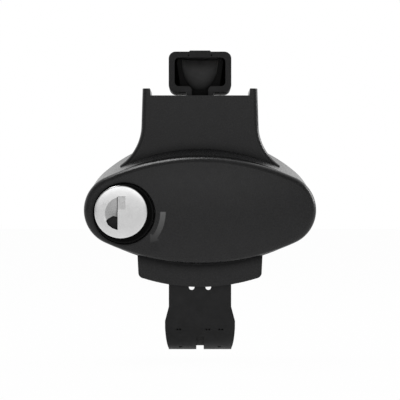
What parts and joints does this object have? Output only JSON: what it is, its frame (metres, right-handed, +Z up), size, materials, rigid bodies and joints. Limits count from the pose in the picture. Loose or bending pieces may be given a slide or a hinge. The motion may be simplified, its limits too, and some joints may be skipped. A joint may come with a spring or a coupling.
{
  "type": "roof bar foot",
  "caption": "Load bar foot for a raised round roof rail: moulded housing with an oval hinged cover and lock, a clamp head for the bar's channel and a hooked strap under the rail.",
  "frame": {"origin": "centre of the roof rail that the foot clamps, midway along the rail strap", "axes": "+X along the rail, +Y inwards along the load bar and away from the cover, +Z up"},
  "size_m": [0.146, 0.0704, 0.1895],
  "materials": {
    "black_plastic": "fine-grained satin black",
    "dark_plastic": "satin dark grey",
    "black_steel": "black coating",
    "zinc_steel": "zinc plated",
    "spring_steel": "drawn wire",
    "rubber": "soft black",
    "lock_metal": "satin"
  },
  "bodies": {
    "foot": {"foot_body": "black_plastic", "rail_pad": "rubber", "bar_pad_left": "rubber", "bar_pad_right": "rubber", "frame_bracket": "zinc_steel", "bracket_screws": "zinc_steel", "screw_washer": "zinc_steel", "hinge_pin": "zinc_steel", "latch_plate": "zinc_steel", "latch_screw": "zinc_steel"},
    "screw": {"tension_screw": "zinc_steel"},
    "yoke": {"cam_yoke": "zinc_steel", "trunnion_nut": "zinc_steel", "return_spring": "spring_steel"},
    "head": {"clamp_head": "black_steel", "head_insert": "dark_plastic", "head_pin": "zinc_steel", "head_pin_clips": "spring_steel"},
    "strap": {"rail_strap": "black_steel", "strap_lining": "rubber", "strap_carriage": "black_steel", "strap_pin": "zinc_steel", "strap_pin_clips": "spring_steel"},
    "cover": {"cover": "black_plastic", "lock_sleeve": "dark_plastic", "lock_nut": "zinc_steel"},
    "lock": {"lock_knob": "lock_metal", "lock_barrel": "zinc_steel", "lock_cam": "zinc_steel", "cam_screw": "zinc_steel"}
  },
  "joints": [
    {"name": "yoke_slide", "type": "slide", "parent": "foot", "child": "yoke", "axis": [0, 1, 0], "range_m": [-0.005, 0.008], "deforming": ["return_spring"]},
    {"name": "screw_turn", "type": "hinge", "parent": "foot", "child": "screw", "pos_m": [0, 0, 0.066], "axis": [0, 1, 0], "range_deg": [-2304, 1440]},
    {"name": "head_slide", "type": "slide", "parent": "foot", "child": "head", "axis": [0, 0, 1], "range_m": [-0.0015, 0.0024]},
    {"name": "strap_slide", "type": "slide", "parent": "foot", "child": "strap", "axis": [0, 0, 1], "range_m": [-0.0064, 0.004]},
    {"name": "cover_hinge", "type": "hinge", "parent": "foot", "child": "cover", "pos_m": [0.065, -0.0305, 0.066], "axis": [0, 0, 1], "range_deg": [0, 60]},
    {"name": "lock_turn", "type": "hinge", "parent": "cover", "child": "lock", "pos_m": [-0.0487, -0.0402, 0.0648], "axis": [0, 1, 0], "range_deg": [0, 90]}
  ],
  "couplings": [
    {"joint": "screw_turn", "follows": "yoke_slide", "rad_per_m": -5026},
    {"joint": "head_slide", "follows": "yoke_slide", "ratio": 0.3},
    {"joint": "strap_slide", "follows": "yoke_slide", "ratio": -0.8}
  ]
}
